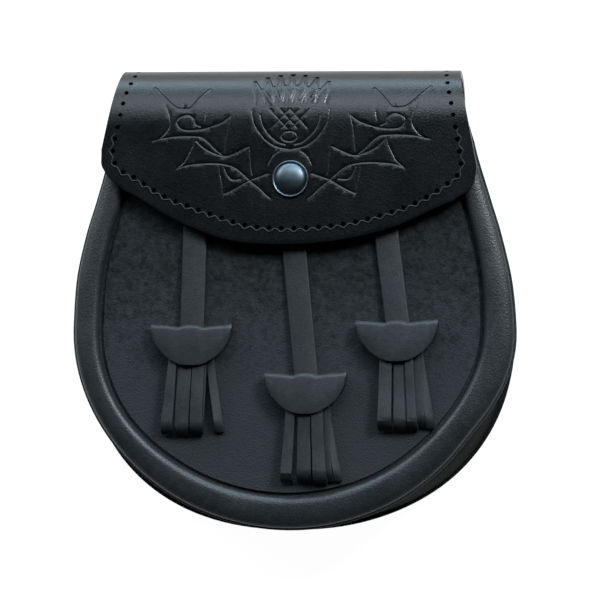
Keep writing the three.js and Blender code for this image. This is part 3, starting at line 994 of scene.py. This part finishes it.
# Caps. Each is a disc of hide folded in half over the top of the fringe, with its ears
# pinched and turned up and a slit in its fold for the strap. Its round edge is bevelled.
cap_table = [
    {"across": -1.0, "top": 0.02, "low": -0.12, "puff": 0.3},
    {"across": -0.95, "top": 0.02, "low": -0.32, "puff": 0.5},
    {"across": -0.84, "top": 0.01, "low": -0.53, "puff": 0.7},
    {"across": -0.66, "top": 0.0, "low": -0.74, "puff": 0.86},
    {"across": -0.44, "top": -0.025, "low": -0.9, "puff": 0.93},
    {"across": -0.3, "top": -0.045, "low": -0.965, "puff": 0.95},
    {"across": -0.18, "top": -0.005, "low": -0.99, "puff": 1.0},
    {"across": 0.0, "top": 0.01, "low": -1.0, "puff": 1.0},
    {"across": 0.18, "top": -0.005, "low": -0.99, "puff": 1.0},
    {"across": 0.3, "top": -0.045, "low": -0.965, "puff": 0.95},
    {"across": 0.44, "top": -0.03, "low": -0.9, "puff": 0.93},
    {"across": 0.66, "top": -0.005, "low": -0.74, "puff": 0.86},
    {"across": 0.84, "top": 0.0, "low": -0.53, "puff": 0.7},
    {"across": 0.95, "top": 0.02, "low": -0.32, "puff": 0.5},
    {"across": 1.0, "top": 0.03, "low": -0.12, "puff": 0.3},
]
cap_columns = 48
low_steps = 8
over_steps = 12
face_steps = 14
ear_thick = 3.3 * mm
cap_thick = 7.2 * mm
ear_rise = 1.1 * mm
ear_share = 0.2
fold_reach = 1.9 * mm
fold_gap = 0.2 * mm
slit_height = 2.9 * mm
slit_size = (11.4 * mm, 9 * mm, 2.6 * mm)
for tassel in tassels:
    cap_turn = Matrix.Rotation(math.radians(tassel["cap_turn"]), 4, "Z")
    rows = []
    for i in range(cap_columns + 1):
        u = math.sin(math.pi / 2 * (2 * i / cap_columns - 1))
        top, low, puff = (read_table(cap_table, "across", key, u) for key in ("top", "low", "puff"))
        thick = between(ear_thick, cap_thick, puff)
        radius = thick / 2
        top_y = top * cap_height
        low_y = min(low * cap_height, top_y - 0.5 * mm)
        ear_lift = ear_rise * max(abs(u) - (1 - ear_share), 0.0) / ear_share
        line = []
        for k in range(low_steps + 1):
            y = between(low_y, top_y - fold_reach, k / low_steps)
            line.append((min(y, top_y - fold_gap), 0.0))
        for k in range(1, over_steps):
            angle = math.pi * k / over_steps
            y = top_y - fold_reach + fold_reach * math.sin(angle)
            line.append((max(y, low_y), radius - radius * math.cos(angle)))
        for k in range(face_steps + 1):
            share = k / face_steps
            y = between(top_y - fold_reach, low_y, share)
            swell = 0.25 * mm * puff * math.sin(math.pi * share) - 0.5 * mm * puff * share * share
            line.append((min(y, top_y - fold_gap), thick + swell))
        rows.append([cap_turn @ Vector((u * cap_width / 2, y, z + ear_lift)) + tassel["place"]
                     for y, z in line])
    cap = weave_rows("cap_" + tassel["name"], rows)
    middle = tassel["place"] + Vector((0, -cap_height / 2, 3.5 * mm))
    face = max(cap.data.polygons, key=lambda p: p.center.z - abs(p.center.x - middle.x))
    if face.normal.z < 0:
        edit(cap, bpy.ops.mesh.flip_normals)
    apply_modifier(cap, "SOLIDIFY", thickness=cap_wall, offset=-1)
    deselect()
    slit_place = tassel["place"] + Vector((0, 0, slit_height))
    bpy.ops.mesh.primitive_cube_add(size=1, location=slit_place)
    slit = bpy.context.object
    slit.scale = slit_size
    bpy.ops.object.transform_apply(location=False, rotation=False, scale=True)
    apply_modifier(cap, "BOOLEAN", object=slit, operation="DIFFERENCE", solver="MANIFOLD")
    bpy.data.objects.remove(slit)
    soften_edges(cap, 0.55 * mm, angle=50)
    finish(cap, tassel_hide, "strap_leather", "tassel_cap_" + tassel["name"], smooth=40)


# Snap. A low pressed dome of dark nickel inside a thin raised ring, set through the flap,
# with its socket under the flap and the plain stud that it grips on the front panel.
def lathe(name, place, profile, sides=64):
    """A body turned about an upright line, from radii and heights in millimetres."""
    rings = []
    for radius, height in profile:
        rings.append([place + Vector((radius * mm * math.cos(2 * math.pi * k / sides),
                                      radius * mm * math.sin(2 * math.pi * k / sides),
                                      height * mm)) for k in range(sides)])
    return weave_rows(name, rings, closed=True)


gunmetal, shader, tones, place = new_material("gunmetal")
smudge = tones.noise(place, scale=260.0, detail=4.0, roughness=0.6)
scratch = tones.noise(place, scale=1400.0, detail=3.0, roughness=0.6)
feed(tones, shader, Metallic=1.0, Base_Color=smudge.mix((0.08, 0.105, 0.125), (0.12, 0.155, 0.18)),
     Roughness=0.4 + (smudge - 0.5) * 0.2 + (scratch - 0.5) * 0.12)

cap_low, cap_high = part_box("snap_cap")
stud_low, stud_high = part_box("snap_stud")
snap_place = Vector(((cap_low.x + cap_high.x) / 2, (cap_low.y + cap_high.y) / 2, 0))
cap_base = flap_face / mm
dome_radius = 6.75
dome_rise = 2.5
dome = []
for k in range(13):
    angle = math.pi / 2 * k / 12
    radius = dome_radius * math.cos(angle) if k < 12 else 0.25
    dome.append((radius, cap_base + 0.75 + dome_rise * math.sin(angle)))
cap_floor = cap_low.z / mm
snap = lathe("snap_dome", snap_place, [
    (2.3, cap_floor + 1.2), (2.3, cap_floor + 0.1), (2.4, cap_floor), (4.8, cap_floor),
    (5.0, cap_floor + 0.2), (5.0, cap_floor + 1.9), (2.2, cap_floor + 2.0), (2.2, cap_base + 0.1),
    (7.7, cap_base + 0.1), (7.95, cap_base + 0.3), (8.0, cap_base + 0.7), (7.85, cap_base + 1.1),
    (7.55, cap_base + 1.3), (7.2, cap_base + 1.2), (6.95, cap_base + 0.95),
] + dome)
finish(snap, gunmetal, "gunmetal", "snap_cap", smooth=40)

stud_floor = stud_low.z / mm
stud_top = stud_high.z / mm
stud = lathe("snap_stud_metal", snap_place, [
    (0.3, stud_floor), (4.3, stud_floor), (4.5, stud_floor + 0.2), (4.5, stud_floor + 0.5),
    (2.2, stud_floor + 0.6), (2.2, lay_z / mm), (4.4, lay_z / mm), (4.5, lay_z / mm + 0.2),
    (4.3, lay_z / mm + 0.5), (2.0, lay_z / mm + 0.55), (2.0, stud_top - 0.3), (1.7, stud_top),
    (0.3, stud_top),
], sides=48)
finish(stud, gunmetal, "gunmetal", "snap_stud", smooth=40)


# Belt loops. Two strips of hide on the back, sewn down at both ends and standing off
# between them, so that a belt slides through.
loop_hide = leather("loop_hide", (0.013, 0.014, 0.016), (0.024, 0.027, 0.029),
                    roughness=0.55, grain=0.00016, mottle=70.0, shine=0.4, seed=5.3)
loop_wall = 2 * mm
loop_pad = 9 * mm
loop_ramp = 7 * mm
for side in ("left", "right"):
    low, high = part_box("belt_loop_" + side)
    rise = high.z - low.z - loop_wall
    across = Vector((-1, 0, 0))
    path = []
    length = high.y - low.y
    for k in range(61):
        along = length * k / 60
        near_end = min(along, length - along)
        share = min(max((near_end - loop_pad) / loop_ramp, 0.0), 1.0)
        drop = rise * share * share * (3 - 2 * share)
        place = Vector(((low.x + high.x) / 2, high.y - along, high.z - loop_wall / 2 - drop))
        path.append((place, across, 1.0))
    loop = ribbon("belt_loop_hide_" + side, path, high.x - low.x, loop_wall, corner=0.3)
    finish(loop, loop_hide, "side_leather", "belt_loop_" + side, smooth=40)


# Stitching on the back. Waxed thread sews the back to the gusset all round its edge, the
# flap's tail to the back, and both ends of each belt loop.
stitch_pitch = 4.2 * mm
stitch_length = 3.3 * mm
proud = Vector((0, 0, -0.12 * mm))
sunk = Vector((0, 0, 0.3 * mm))


def running_stitch(name, slot, lines):
    """Separate stitches along lines, each sunk into the hide at its two ends."""
    paths = []
    for line in lines:
        for place, along in even_places(line, stitch_pitch):
            half = along * stitch_length / 2
            paths.append([
                place - half + sunk,
                place - half * 0.8 + proud,
                place + half * 0.8 + proud,
                place + half + sunk,
            ])
    row = tubes(name, paths, thread_radius)
    finish(row, thread_hide, slot, smooth=60)


seam_inset = 4.2 * mm
seam = strayed(pouch_line(seam_inset, tail_down + 3 * mm, 0.0), back_stray)
seam = [p + Vector((0, 0, back_low.z)) for p in seam]
running_stitch("back_stitches", "panel_leather", [seam])
tail_y = fold_top - tail_down + 4.5 * mm
tail_line = [Vector((x * mm, tail_y, tail_face)) for x in (-66, 62)]
running_stitch("tail_stitches", "flap_leather", [tail_line])
pad_lines = []
for side in ("left", "right"):
    low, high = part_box("belt_loop_" + side)
    pad_face = high.z - loop_wall
    ends = (low.x + 2 * mm, high.x - 2 * mm)
    for first in (high.y, low.y + loop_pad):
        for step in (2.2 * mm, 6.8 * mm):
            pad_lines.append([Vector((x, first - step, pad_face)) for x in ends])
running_stitch("loop_stitches", "side_leather", pad_lines)
